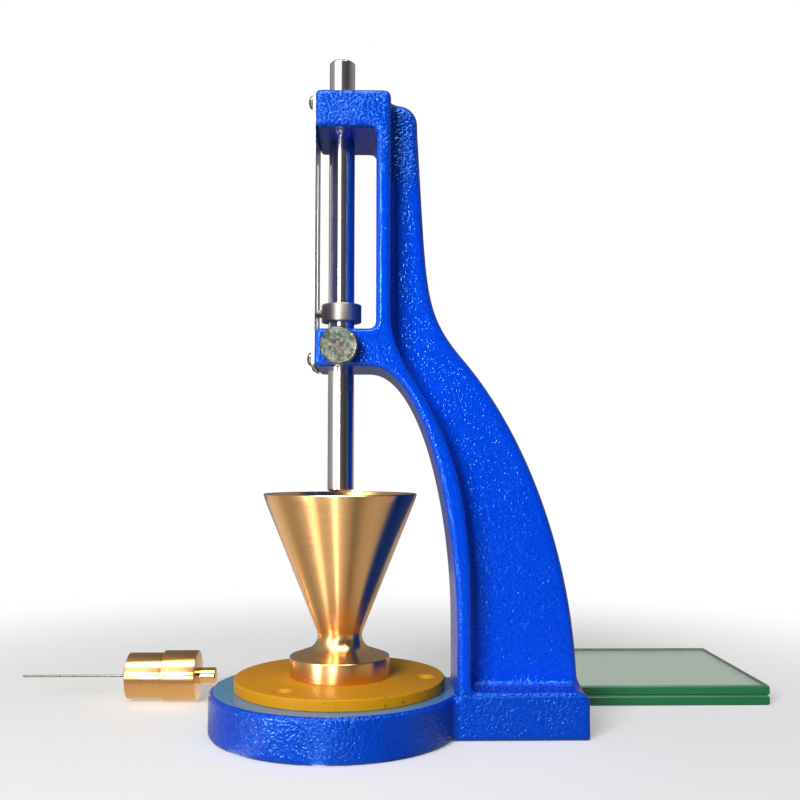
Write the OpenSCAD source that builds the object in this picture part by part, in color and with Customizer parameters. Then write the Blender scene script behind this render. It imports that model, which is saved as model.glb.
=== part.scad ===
// Vicat apparatus for cement paste, with its cone mould, needle unit and glass plates.
// X points from the rod towards the foot, Y away from the viewer and Z up.
// The origin lies on the underside of the base, below the axis of the rod.
// All sizes are in millimetres.

/* [Base and foot] */
// Radius of the round base
base_r = 56.5; // [52:0.5:62]
// Height of the round base
base_h = 19; // [16:0.5:26]
// How far the base's centre lies in front of the rod's axis, away from the foot
base_shift = 2; // [0:0.5:4]
// Distance from the rod's axis to the end of the foot
foot_reach = 109.5; // [106:0.5:125]
// How far the foot's top stands above the round base
foot_rise = 1.7; // [0.5:0.1:4]
// Radius of the foot's top edge at its far end
foot_end_r = 5; // [3:0.5:7]
// Radius of the cast edges
edge_r = 1.8; // [1:0.1:2]

/* [Column and arms] */
// Width of the column's flange, the arms and the foot
frame_w = 44.2; // [40:0.2:50]
// Distance from the rod's axis to the free ends of the arms
arm_reach = 11.2; // [10.5:0.1:12]
// Height of the lower arm
lower_arm_h = 17; // [14:0.5:22]
// Height of the upper arm
upper_arm_h = 17; // [14:0.5:22]
// Clear height between the base and the lower arm
throat_h = 143.4; // [135:0.5:160]
// Clear height of the window between the two arms
window_h = 91; // [88:0.5:110]
// Distance from the rod's axis to the column in the window
window_reach = 16.1; // [14:0.1:18]
// Thickness of the column's flange
flange_t = 6.6; // [6:0.1:8]
// Distance from the rod's axis to the column above the base
throat_reach = 51.8; // [50:0.2:54]
// Radius of the window's inner corners
window_r = 3; // [2:0.5:5]

/* [Rib behind the column] */
// Thickness of the rib
web_t = 14; // [10:0.5:20]
// Radius of the rib's outer edges
web_edge_r = 3.5; // [2:0.1:4]
// Distance from the rod's axis to the rib's outer edge at its top
web_top_reach = 35.2; // [33:0.2:37]
// How far the rib's top stays below the upper arm's top
web_drop = 1.2; // [0.5:0.1:6]
// Radius of the rib's top shoulder
web_shoulder_r = 9; // [6:0.5:10]
// Distance from the foot's end to the rib's outer edge on the foot
web_foot_gap = 2.4; // [2:0.1:8]
// Radius of the fillets where the rib meets the foot and the column
web_fillet_r = 4; // [2:0.5:5]

/* [Guide rod] */
// Radius of the rod
rod_r = 6; // [5:0.1:6.5]
// How far the rod stands above the upper arm
rod_over = 20.5; // [10:0.5:40]
// Gap between the rod's lower end and the mould's rim
rod_gap = 1; // [0.6:0.1:5]
// Chamfer on both ends of the rod
rod_chamfer = 0.8; // [0.3:0.1:1.5]
// Radius of the tapped socket in the rod's lower end
socket_r = 3.5; // [3:0.1:4]
// Depth of that socket
socket_depth = 12; // [10:0.5:20]
// Outer radius of the guide bushes
bush_r = 7.6; // [7.2:0.1:8.2]
// Depth of the shoulder below each bush
bush_shoulder = 2; // [1:0.5:4]

/* [Stop collar and pointer] */
// Outer radius of the stop collar
collar_r = 9.3; // [8.8:0.1:9.8]
// Height of the stop collar
collar_h = 8.2; // [6:0.1:12]
// Height of the collar above the lower arm
collar_lift = 5.3; // [1:0.1:12]
// Radius of the pointer screw
pointer_r = 1.8; // [1.2:0.1:2]
// How far the pointer screw stands out of the scale plate
pointer_over = 0.7; // [0.2:0.1:2]
// Radius of the collar's grub screw
grub_r = 1.5; // [1:0.1:2]

/* [Lock screw] */
// Radius of the screw's round head
lock_head_r = 8.5; // [7:0.1:10]
// Thickness of the head
lock_head_h = 6; // [4:0.5:10]
// Chamfer on the head's rim
lock_chamfer = 0.8; // [0.4:0.1:1.2]
// Gap between the head and the arm while the screw is tight
lock_gap = 1.5; // [0.5:0.1:4]
// Radius of the screw's threaded stem
lock_stem_r = 3; // [2.5:0.1:3.5]
// Radius of the brass pad at the screw's tip
lock_pad_r = 2; // [1.5:0.1:2.4]
// Length of that pad
lock_pad_len = 3; // [2.5:0.1:5]

/* [Scale plate] */
// Thickness of the scale plate
scale_t = 1.2; // [0.8:0.1:2]
// Width of the scale plate
scale_w = 40; // [36:0.5:44]
// Clearance between the pointer screw and the slot's sides
slot_clear = 0.4; // [0.3:0.1:1]
// Length of the travel that the scale shows
scale_len = 70; // [60:1:75]
// Distance of the screws from the plate's ends
screw_inset_z = 3.8; // [3.6:0.1:5]
// Distance of the screws from the plate's middle line
screw_side = 14; // [12:0.5:15.5]
// Radius of the screws' stems
screw_r = 1.5; // [1.2:0.1:2]
// Radius of the screws' heads
screw_head_r = 2.9; // [2.6:0.1:3.2]
// Height of the screws' heads
screw_head_h = 1.8; // [1.2:0.1:3]
// Length of the screws' stems
screw_len = 9; // [6:0.5:12]
// Thickness of the washers under the heads
washer_t = 0.5; // [0.3:0.1:1]
// Radius of the washers
washer_r = 3.4; // [3.2:0.1:3.5]

/* [Work plate] */
// Radius of the yellow plate that carries the mould
plate_r = 47.5; // [44:0.5:48]
// Thickness of that plate
plate_h = 5; // [3:0.5:8]
// Number of holes near the plate's rim
plate_holes = 3; // [2:1:6]
// Radius of those holes
plate_hole_r = 1.6; // [1:0.1:3]
// Distance from the holes to the plate's rim
plate_hole_inset = 9; // [6:0.5:14]

/* [Cone mould] */
// Height of the mould
mould_h = 82; // [80:0.5:90]
// Depth of the conical cavity
mould_depth = 75; // [60:0.5:76]
// Radius of the cavity at the rim
mould_mouth_r = 30; // [25:0.5:31]
// Outer radius of the rim
mould_rim_r = 35; // [34.5:0.5:38]
// Height of the flared lip under the rim
mould_lip_h = 3; // [2:0.5:5]
// Outer radius of the cone where it would meet the foot's slope
mould_neck_r = 8.05; // [7.8:0.1:9.5]
// Height of that meeting line
mould_neck_z = 14.1; // [13:0.1:16]
// Radius of the fillet between the cone and the foot
mould_fillet_r = 6.5; // [4:0.1:7]
// Radius of the mould's foot
mould_foot_r = 22.6; // [21:0.1:26]
// Height of the foot's upright edge
mould_foot_h = 8.9; // [6:0.1:10]

/* [Needle unit] */
// Radius of the needle
needle_r = 0.565; // [0.5:0.005:1]
// Length of the needle outside its holder
needle_len = 50; // [40:0.5:60]
// Length of the needle inside its holder
needle_grip = 12; // [8:0.5:15]
// Radius of the weight
weight_r = 12.5; // [11.6:0.1:15]
// Height of the weight
weight_h = 17; // [12:0.5:24]
// Radius of the needle holder
holder_r = 11.4; // [9:0.1:11.6]
// Height of the holder's straight side
holder_h = 17.7; // [12:0.1:24]
// Height of the holder's pointed end
holder_cone_h = 3.5; // [1:0.1:6]
// Radius of the threaded stud
stud_r = 4; // [3:0.1:5]
// Length of the stud above the weight
stud_len = 9; // [7:0.5:11]
// Radius of the stud's thinner end inside the weight
stud_spigot_r = 3; // [2:0.1:3.5]
// Length of that end
stud_grip = 10; // [6:0.5:11]
// Distance from the base to the end of the stud
unit_gap = 6; // [4:0.5:20]
// Distance from the rod's axis to the lying needle unit, away from the viewer
unit_y = 55; // [50:0.5:80]

/* [Glass plates] */
// Side of the square glass plates
glass_w = 100; // [80:1:120]
// Thickness of each glass plate
glass_t = 5; // [3:0.5:8]
// Gap between the foot's end and the glass plates
glass_gap = 2.5; // [1:0.5:20]
// Distance from the rod's axis to the near side of the glass plates
glass_y = 40; // [30:1:80]
// Width of the ground bevel on the glass edges
glass_bevel = 0.8; // [0.3:0.1:1.2]

/* [Fits] */
// Radial running clearance of the rod in its guides
run_gap = 0.04; // [0.02:0.01:0.1]
// Radial clearance of pieces that are pushed or screwed together
fit_gap = 0.02; // [0.01:0.01:0.05]
// Radial clearance of the lock screw in the arm
lock_clear = 0.06; // [0.03:0.01:0.1]

/* [Hidden] */
$fn = 96;

half_w = frame_w / 2;
lower_arm_z = base_h + throat_h;
lower_arm_top = lower_arm_z + lower_arm_h;
upper_arm_z = lower_arm_top + window_h;
frame_top = upper_arm_z + upper_arm_h;
foot_top = base_h + foot_rise;
flange_out = window_reach + flange_t;
flange_foot_out = throat_reach + flange_t - 0.4;
web_foot_reach = foot_reach - web_foot_gap;
mould_z = base_h + plate_h;
rod_z = mould_z + mould_h + rod_gap;
rod_len = frame_top + rod_over - rod_z;
collar_z = lower_arm_top + collar_lift;
pointer_z = collar_z + collar_h / 2;
lock_z = lower_arm_z + lower_arm_h / 2;
stem_tip_y = rod_r + run_gap + lock_pad_len;
scale_x = -arm_reach - scale_t;
pointer_tip_x = scale_x - pointer_over;
slot_half = pointer_r + slot_clear;
slot_low = pointer_z - collar_lift - slot_half;
slot_high = pointer_z + scale_len + slot_half;
unit_x = -base_r - base_shift - unit_gap;
glass_x = foot_reach + glass_gap;
arc_steps = 6;
curve_steps = 28;

// The points of an arc that rounds the corner b between a and c.
function unit(v) = v / norm(v);
function corner(a, b, c, r) =
    let(
        u = unit(a - b),
        v = unit(c - b),
        half = acos(u * v) / 2,
        reach = r / tan(half),
        centre = b + unit(u + v) * r / sin(half),
        p = b + u * reach - centre,
        q = b + v * reach - centre,
        turn = 180 - 2 * half,
        side = sign(p.x * q.y - p.y * q.x)
    )
    [for (i = [0:arc_steps])
        let(w = side * turn * i / arc_steps)
        centre + [p.x * cos(w) - p.y * sin(w), p.x * sin(w) + p.y * cos(w)]];

// A cubic curve from a to d, pulled towards b and c.
function curve(a, b, c, d) =
    [for (i = [0:curve_steps])
        let(t = i / curve_steps, s = 1 - t)
        a * s * s * s + b * 3 * s * s * t + c * 3 * s * t * t + d * t * t * t];

// The column's outer side, from the window down to the foot.
function column_back() = curve(
    [flange_out, lower_arm_top + 7.4],
    [flange_out, lower_arm_z - 10.9],
    [flange_foot_out, lower_arm_z - 12.5],
    [flange_foot_out, base_h + 41.3]
);

// The column's inner side, from above the base up to the lower arm.
function column_front() = curve(
    [throat_reach, base_h + 26],
    [throat_reach, base_h + 83.8],
    [window_reach + 19.7, lower_arm_z],
    [window_reach - 2.6, lower_arm_z]
);

// Side view of the arms, the column's flange and the foot as one outline.
function frame_outline() =
    let(
        left = -arm_reach,
        inner = base_r / 2,
        foot_start = [flange_foot_out, foot_top]
    )
    concat(
        corner([inner, 0], [foot_reach, 0], [foot_reach, foot_top], edge_r + 0.2),
        corner([foot_reach, 0], [foot_reach, foot_top], [0, foot_top], foot_end_r),
        corner([foot_reach, foot_top], foot_start, [flange_foot_out, frame_top], edge_r + 0.2),
        [for (i = [curve_steps:-1:0]) column_back()[i]],
        corner([flange_out, 0], [flange_out, frame_top], [left, frame_top], window_r),
        corner([flange_out, frame_top], [left, frame_top], [left, upper_arm_z], edge_r + 0.2),
        corner([left, frame_top], [left, upper_arm_z], [window_reach, upper_arm_z], edge_r + 0.2),
        corner([left, upper_arm_z], [window_reach, upper_arm_z], [window_reach, 0], window_r),
        corner([window_reach, upper_arm_z], [window_reach, lower_arm_top], [left, lower_arm_top],
            window_r),
        corner([window_reach, lower_arm_top], [left, lower_arm_top], [left, lower_arm_z],
            edge_r + 0.2),
        corner([left, lower_arm_top], [left, lower_arm_z], [window_reach, lower_arm_z],
            edge_r + 0.2),
        [for (i = [curve_steps:-1:0]) column_front()[i]],
        corner([throat_reach, frame_top], [throat_reach, base_h - 1], [inner, base_h - 1], edge_r),
        [[inner, base_h - 1], [inner, 0]]
    );

// The rib's outer edge, from its top shoulder to the foot.
function web_back() =
    let(
        waist = [web_top_reach + 21.3, lower_arm_z + 4.6],
        sweep = waist + [26.9, -31.7]
    )
    concat(
        curve(
            [web_top_reach, frame_top - 15.5],
            [web_top_reach + 4.5, upper_arm_z - 73],
            waist - 0.92 * [20.6, -24.3],
            waist
        ),
        curve(
            waist,
            sweep,
            [web_foot_reach - 1.9, foot_top + 61],
            [web_foot_reach, foot_top + 1]
        )
    );

// Side view of the rib, which starts inside the flange.
function web_outline() =
    let(
        top = frame_top - web_drop,
        hidden = web_edge_r + 1.5,
        back = web_back(),
        n = len(back),
        front = column_back()
    )
    concat(
        [[front[curve_steps].x - hidden, base_h - 4], [web_foot_reach, base_h - 4]],
        [for (i = [n - 1:-1:curve_steps + 2]) back[i]],
        [for (i = [curve_steps:-1:0]) back[i]],
        corner(back[0], [web_top_reach - 0.3, top], [flange_out, top], web_shoulder_r),
        [[flange_out - hidden, top]],
        [for (i = [0:curve_steps]) front[i] - [hidden, 0]]
    );

// The round base: an upright disc with its edges rounded.
module round_base() {
    profile = concat(
        [[0, 0]],
        corner([0, 0], [base_r, 0], [base_r, base_h], 1),
        corner([base_r, 0], [base_r, base_h], [0, base_h], 1.2),
        [[0, base_h]]
    );
    translate([-base_shift, 0, 0])
        rotate_extrude($fn = 180)
            polygon(profile);
}

// Arms, flange and foot in one piece: the side view, cut by a top view and an end view
// that round the upright edges of the free ends and the upper arm's long top edges.
module arms_and_foot() {
    r = edge_r;
    tips = [[-arm_reach, -half_w], [foot_reach, -half_w], [foot_reach, half_w], [-arm_reach, half_w]];
    intersection() {
        rotate([90, 0, 0])
            linear_extrude(frame_w, center = true)
                polygon(frame_outline());
        translate([0, 0, -1])
            linear_extrude(frame_top + 2)
                polygon([for (i = [0:3]) each corner(tips[(i + 3) % 4], tips[i], tips[(i + 1) % 4], r)]);
        translate([-arm_reach - 1, 0, 0])
            rotate([90, 0, 90])
                linear_extrude(arm_reach + foot_reach + 2)
                    polygon(concat(
                        [[-half_w, -1], [half_w, -1]],
                        corner([half_w, 0], [half_w, frame_top], [0, frame_top], r),
                        corner([0, frame_top], [-half_w, frame_top], [-half_w, 0], r)
                    ));
    }
}

// A concave fillet along X where the rib stands on the foot.
module foot_fillet(side) {
    start = flange_foot_out - 1;
    run = web_foot_reach - web_edge_r - start;
    sink = 0.4;
    translate([start, side * (web_t / 2 - sink), foot_top - sink])
        rotate([90, 0, 90])
            mirror([side < 0 ? 1 : 0, 0, 0])
                linear_extrude(run)
                    difference() {
                        square(web_fillet_r + sink);
                        translate([web_fillet_r + sink, web_fillet_r + sink])
                            circle(web_fillet_r * 1.02);
                    }
}

// The bore for a guide bush, open at the top and with a shoulder at the bottom.
module bush_bore(z, height) {
    translate([0, 0, z + bush_shoulder])
        cylinder(r = bush_r + fit_gap, h = height);
    translate([0, 0, z - 1])
        cylinder(r = rod_r + 0.5, h = height);
}

// The middles of the four scale screws.
function screw_places() = [
    for (z = [lower_arm_z + screw_inset_z, frame_top - screw_inset_z])
        for (y = [-screw_side, screw_side])
            [y, z]
];

module frame_casting() {
    color("#1746c8")
        difference() {
            union() {
                arms_and_foot();
                rotate([90, 0, 0])
                    linear_extrude(web_t, center = true)
                        polygon(web_outline());
                round_base();
                foot_fillet(-1);
                foot_fillet(1);
            }
            bush_bore(lower_arm_z, lower_arm_h);
            bush_bore(upper_arm_z, upper_arm_h);
            translate([0, 0, lock_z])
                rotate([90, 0, 0])
                    cylinder(r = lock_stem_r + lock_clear, h = half_w + 1);
            for (p = screw_places())
                translate([-arm_reach - 1, p.x, p.y])
                    rotate([0, 90, 0])
                        cylinder(r = screw_r + fit_gap, h = screw_len + 1, $fn = 32);
        }
}

// A plain bush for the rod, seated on the shoulder in its arm.
module guide_bush(z, height) {
    length = height - bush_shoulder - 0.3;
    translate([0, 0, z + bush_shoulder])
        rotate_extrude()
            polygon([
                [rod_r + run_gap, 0.4], [rod_r + run_gap + 0.4, 0], [bush_r - 0.3, 0],
                [bush_r, 0.3], [bush_r, length], [rod_r + run_gap + 0.4, length],
                [rod_r + run_gap, length - 0.4]
            ]);
}

module upper_guide_bush() {
    color("#b08a45")
        guide_bush(upper_arm_z, upper_arm_h);
}

module lower_guide_bush() {
    color("#b08a45")
        difference() {
            guide_bush(lower_arm_z, lower_arm_h);
            translate([0, 0, lock_z])
                rotate([90, 0, 0])
                    cylinder(r = lock_pad_r + 0.3, h = bush_r + 1, $fn = 48);
        }
}

module scale_plate() {
    color("#c9ccd0")
        difference() {
            translate([scale_x, 0, lower_arm_z + 0.3])
                rotate([90, 0, 90])
                    linear_extrude(scale_t)
                        polygon(concat(
                            scale_corner(-1, 0, 1),
                            scale_corner(1, 0, -1),
                            scale_corner(1, 1, 1),
                            scale_corner(-1, 1, -1)
                        ));
            hull()
                for (z = [slot_low + slot_half, slot_high - slot_half])
                    translate([scale_x - 1, 0, z])
                        rotate([0, 90, 0])
                            cylinder(r = slot_half, h = scale_t + 2, $fn = 32);
            for (p = screw_places())
                translate([scale_x - 1, p.x, p.y])
                    rotate([0, 90, 0])
                        cylinder(r = screw_r + 0.1, h = scale_t + 2, $fn = 32);
        }
}

// One rounded corner of the scale plate.
function scale_corner(side, end, turn) =
    let(
        r = 1.5,
        height = frame_top - lower_arm_z - 0.6,
        at = [side * scale_w / 2, end * height],
        along = [0, height / 2],
        across = [0, at.y],
        before = (turn > 0) ? along + [at.x, 0] : across,
        after = (turn > 0) ? across : along + [at.x, 0]
    )
    corner(before, at, after, r);

module scale_screws() {
    color("#a9aca8")
        for (p = screw_places())
            translate([scale_x - washer_t, p.x, p.y])
                rotate([0, 90, 0]) {
                    cylinder(r = screw_r, h = scale_t + washer_t + screw_len - 0.5, $fn = 32);
                    difference() {
                        intersection() {
                            translate([0, 0, -screw_head_h])
                                cylinder(r = screw_head_r, h = screw_head_h, $fn = 48);
                            translate([0, 0, screw_head_r * 1.6 - screw_head_h])
                                sphere(r = screw_head_r * 1.6, $fn = 48);
                        }
                        translate([-screw_head_r - 1, -0.35, -screw_head_h - 1])
                            cube([2 * screw_head_r + 2, 0.7, 1.9]);
                    }
                }
}

module scale_washers() {
    color("#b9bdb8")
        for (p = screw_places())
            translate([scale_x - washer_t, p.x, p.y])
                rotate([0, 90, 0])
                    difference() {
                        cylinder(r = washer_r, h = washer_t, $fn = 48);
                        translate([0, 0, -1])
                            cylinder(r = screw_r + 0.1, h = washer_t + 2, $fn = 32);
                    }
}

module slide_rod() {
    c = rod_chamfer;
    color("#c8cbd0")
        translate([0, 0, rod_z])
            rotate_extrude()
                polygon([
                    [socket_r + 0.6, 0], [rod_r - c, 0], [rod_r, c], [rod_r, rod_len - c],
                    [rod_r - c, rod_len], [0, rod_len], [0, socket_depth + 2],
                    [socket_r, socket_depth], [socket_r, 0.6]
                ]);
}

module stop_collar() {
    color("#8d8d88")
        difference() {
            translate([0, 0, collar_z])
                rotate_extrude()
                    polygon([
                        [rod_r + fit_gap, 0], [collar_r - 0.5, 0], [collar_r, 0.5],
                        [collar_r, collar_h - 0.5], [collar_r - 0.5, collar_h],
                        [rod_r + fit_gap, collar_h]
                    ]);
            translate([0, 0, pointer_z])
                rotate([0, -90, 0])
                    cylinder(r = pointer_r + fit_gap, h = collar_r + 1, $fn = 48);
            translate([0, 0, pointer_z])
                rotate([-90, 0, 0])
                    cylinder(r = grub_r + fit_gap, h = collar_r + 1, $fn = 48);
        }
}

// The screw that clamps the collar and points at the scale through the plate's slot.
module pointer_screw() {
    start = rod_r + fit_gap;
    color("#7c7f7c")
        translate([0, 0, pointer_z])
            rotate([0, -90, 0])
                difference() {
                    rotate_extrude($fn = 48)
                        polygon([
                            [0, start + 0.1], [pointer_r - 0.4, start + 0.1],
                            [pointer_r, start + 0.5], [pointer_r, -pointer_tip_x - 0.3],
                            [pointer_r - 0.3, -pointer_tip_x], [0, -pointer_tip_x]
                        ]);
                    translate([-pointer_r - 1, -0.25, -pointer_tip_x - 0.8])
                        cube([2 * pointer_r + 2, 0.5, 2]);
                }
}

// The grub screw on the far side of the collar, with a hexagon socket.
module collar_grub_screw() {
    start = rod_r + fit_gap + 0.1;
    color("#3a3c3e")
        translate([0, 0, pointer_z])
            rotate([-90, 0, 0])
                difference() {
                    translate([0, 0, start])
                        cylinder(r = grub_r, h = collar_r - start - 0.4, $fn = 48);
                    translate([0, 0, collar_r - 1.7])
                        cylinder(r = grub_r * 0.58, h = 2, $fn = 6);
                }
}

module lock_screw() {
    near = half_w + lock_gap;
    far = near + lock_head_h;
    c = lock_chamfer;
    color("#b4bab0")
        translate([0, 0, lock_z])
            rotate([90, 0, 0])
                rotate_extrude()
                    polygon([
                        [0, stem_tip_y], [lock_stem_r - 0.5, stem_tip_y],
                        [lock_stem_r, stem_tip_y + 0.5], [lock_stem_r, near],
                        [lock_head_r - c, near], [lock_head_r, near + c],
                        [lock_head_r, far - c], [lock_head_r - c, far], [0, far]
                    ]);
}

module lock_pad() {
    color("#c39a4a")
        translate([0, -rod_r - run_gap, lock_z])
            rotate([90, 0, 0])
                cylinder(r = lock_pad_r, h = lock_pad_len, $fn = 48);
}

module work_plate() {
    profile = concat(
        [[0, 0]],
        corner([0, 0], [plate_r, 0], [plate_r, plate_h], 0.5),
        corner([plate_r, 0], [plate_r, plate_h], [0, plate_h], 0.8),
        [[0, plate_h]]
    );
    color("#e0a010")
        translate([0, 0, base_h])
            difference() {
                rotate_extrude($fn = 180)
                    polygon(profile);
                for (i = [0:plate_holes - 1])
                    rotate([0, 0, 360 * i / plate_holes - 6])
                        translate([plate_r - plate_hole_inset, 0, -1])
                            cylinder(r = plate_hole_r, h = plate_h + 2, $fn = 32);
            }
}

// Half of the mould's section, from the middle of its underside round to the cavity.
function mould_profile() =
    let(
        bottom = [mould_foot_r, 0],
        edge = [mould_foot_r, mould_foot_h],
        neck = [mould_neck_r, mould_neck_z],
        lip_z = mould_h - mould_lip_h,
        lip = [mould_rim_r - 0.8, lip_z],
        floor_z = mould_h - mould_depth
    )
    concat(
        [[0, 0]],
        corner([0, 0], bottom, edge, 0.5),
        corner(bottom, edge, neck, 0.6),
        corner(edge, neck, lip, mould_fillet_r),
        [lip, [mould_rim_r, mould_h - 0.4], [mould_rim_r - 0.3, mould_h]],
        [[mould_mouth_r, mould_h], [0, floor_z]]
    );

module cone_mould() {
    color("#d8a868")
        translate([0, 0, mould_z])
            rotate_extrude($fn = 180)
                polygon(mould_profile());
}

// Puts a turned piece on the axis of the needle unit, which lies on the bench along X.
module on_unit_axis() {
    translate([unit_x, unit_y, weight_r])
        rotate([0, -90, 0])
            children();
}

module needle_stud() {
    color("#cf9f55")
        on_unit_axis()
            rotate_extrude($fn = 64)
                polygon([
                    [0, 0], [stud_r - 0.5, 0], [stud_r, 0.5], [stud_r, stud_len],
                    [stud_spigot_r, stud_len], [stud_spigot_r, stud_len + stud_grip],
                    [0, stud_len + stud_grip]
                ]);
}

module needle_weight() {
    low = stud_len;
    high = stud_len + weight_h;
    bore = stud_spigot_r + fit_gap;
    seat = low + stud_grip + 0.1;
    color("#d8ab62")
        on_unit_axis()
            rotate_extrude()
                polygon([
                    [bore, low], [weight_r - 0.4, low], [weight_r, low + 0.4],
                    [weight_r, high - 0.4], [weight_r - 0.4, high], [0, high],
                    [0, seat], [bore, seat]
                ]);
}

module needle_holder() {
    low = stud_len + weight_h;
    high = low + holder_h;
    tip = high + holder_cone_h;
    bore = needle_r + fit_gap;
    color("#d8ab62")
        on_unit_axis()
            rotate_extrude()
                polygon([
                    [0, low], [holder_r - 0.3, low], [holder_r, low + 0.3],
                    [holder_r, high - 0.3], [holder_r - 0.3, high], [bore + 0.6, tip],
                    [bore, tip], [bore, tip - needle_grip - 0.1],
                    [0, tip - needle_grip - 0.1]
                ]);
}

module needle() {
    start = stud_len + weight_h + holder_h + holder_cone_h - needle_grip;
    color("#7e7468")
        on_unit_axis()
            translate([0, 0, start])
                cylinder(r = needle_r, h = needle_grip + needle_len, $fn = 32);
}

// One square glass plate with its edges ground to a small bevel.
module glass_plate(z) {
    b = glass_bevel;
    steps = [[b, 0], [0, b], [0, glass_t - b], [b, glass_t]];
    points = [
        for (s = steps)
            for (p = [[0, 0], [1, 0], [1, 1], [0, 1]])
                [
                    s[0] + p.x * (glass_w - 2 * s[0]),
                    s[0] + p.y * (glass_w - 2 * s[0]),
                    s[1]
                ]
    ];
    sides = [
        for (k = [0:2])
            for (i = [0:3])
                let(j = (i + 1) % 4)
                [4 * k + i, 4 * k + 4 + i, 4 * k + 4 + j, 4 * k + j]
    ];
    translate([glass_x, glass_y, z])
        polyhedron(points, concat([[0, 1, 2, 3]], sides, [[15, 14, 13, 12]]));
}

module glass_plate_lower() {
    color("#9fd8b8", 0.4)
        glass_plate(0);
}

module glass_plate_upper() {
    color("#9fd8b8", 0.4)
        glass_plate(glass_t);
}

frame_casting();
upper_guide_bush();
lower_guide_bush();
scale_plate();
scale_screws();
scale_washers();
slide_rod();
stop_collar();
pointer_screw();
collar_grub_screw();
lock_screw();
lock_pad();
work_plate();
cone_mould();
needle_stud();
needle_weight();
needle_holder();
needle();
glass_plate_lower();
glass_plate_upper();
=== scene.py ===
"""Dresses the vicat apparatus: cast stand, guided rod, scale, cone mould, needle unit and glass."""

from __future__ import annotations

import logging
import math
from dataclasses import dataclass
from enum import Enum

import bmesh
import bpy
import numpy as np
from mathutils import Matrix, Vector

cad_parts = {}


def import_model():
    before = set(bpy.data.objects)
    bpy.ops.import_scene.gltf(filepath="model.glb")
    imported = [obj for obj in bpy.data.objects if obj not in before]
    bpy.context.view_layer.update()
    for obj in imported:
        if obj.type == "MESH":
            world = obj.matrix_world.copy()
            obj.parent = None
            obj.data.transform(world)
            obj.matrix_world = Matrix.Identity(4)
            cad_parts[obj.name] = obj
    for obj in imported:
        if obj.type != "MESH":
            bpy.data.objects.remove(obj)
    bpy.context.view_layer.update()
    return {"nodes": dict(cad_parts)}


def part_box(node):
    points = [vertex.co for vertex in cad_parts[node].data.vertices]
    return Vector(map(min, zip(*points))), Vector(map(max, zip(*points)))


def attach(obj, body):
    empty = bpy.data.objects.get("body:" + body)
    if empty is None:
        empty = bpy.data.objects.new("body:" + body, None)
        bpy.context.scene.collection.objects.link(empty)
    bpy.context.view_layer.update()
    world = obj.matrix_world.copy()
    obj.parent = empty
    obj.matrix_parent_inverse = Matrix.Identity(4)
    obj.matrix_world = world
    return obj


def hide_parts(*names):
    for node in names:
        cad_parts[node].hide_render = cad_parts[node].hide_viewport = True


Tree = bpy.types.NodeTree
Socket = bpy.types.NodeSocket
Point = tuple[float, float] | np.ndarray
Mesh = tuple[np.ndarray, np.ndarray]
Profile = list[tuple[float, float, float]]
Levels = tuple[tuple[float, float], ...]

LOG = logging.getLogger("vicat")
MM = 0.001
CLEARANCE = 0.02


# Colours and nodes


def linear(code: str) -> tuple[float, float, float, float]:
    """Turns an sRGB hex colour into linear light.

    Args:
        code: Six hex digits, such as "1746c8".

    Returns:
        Linear red, green and blue with an alpha of 1.
    """
    channels = np.array([int(code[i : i + 2], 16) for i in (0, 2, 4)]) / 255.0
    low = channels / 12.92
    high = ((channels + 0.055) / 1.055) ** 2.4
    r, g, b = np.where(channels <= 0.04045, low, high)
    return float(r), float(g), float(b), 1.0


def add(tree: Tree, kind: str, inputs: dict | tuple = (), **settings: object) -> bpy.types.Node:
    """Adds one node, sets its properties, and sets or links its inputs.

    Args:
        tree: The node tree that takes the node.
        kind: The node's type without its first word, such as "Bump".
        inputs: Socket name to a value, to the output socket that feeds it, or to a node, which
            stands for its first output in use. Or such values alone, in the sockets' order: a
            map's are the value, the range that it comes from and the range that it goes to.
        settings: The node's own properties.

    Returns:
        The new node.
    """
    made = tree.nodes.new("ShaderNode" + kind)
    for name, value in settings.items():
        setattr(made, name, value)
    for key, value in inputs.items() if isinstance(inputs, dict) else enumerate(inputs):
        if isinstance(value, bpy.types.Node):
            value = next(socket for socket in value.outputs if socket.enabled)
        if isinstance(value, Socket):
            tree.links.new(value, made.inputs[key])
        else:
            made.inputs[key].default_value = value
    return made


def empty_tree(owner: bpy.types.Material | bpy.types.World) -> Tree:
    """Returns a material's or a world's node tree, emptied."""
    owner.use_nodes = True
    owner.node_tree.nodes.clear()
    return owner.node_tree


@dataclass(frozen=True)
class Finish:
    """A surface finish, which makes its material once and hands out the same one again."""

    name: str

    def material(self) -> bpy.types.Material:
        """Returns the finish's material, made on first use."""
        made = bpy.data.materials.get(self.name)
        if made is None:
            made = bpy.data.materials.new(self.name)
            tree = empty_tree(made)
            place = add(tree, "TexCoord").outputs["Object"]
            shader = add(tree, "BsdfPrincipled", self.surface(tree, place))
            add(tree, "OutputMaterial", {"Surface": shader})
        return made

    def surface(self, tree: Tree, place: Socket) -> dict:
        """Adds the finish's own nodes.

        Args:
            tree: The material's node tree.
            place: The socket with the object's coordinates, in metres.

        Returns:
            The Principled shader's inputs.
        """
        raise NotImplementedError


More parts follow.
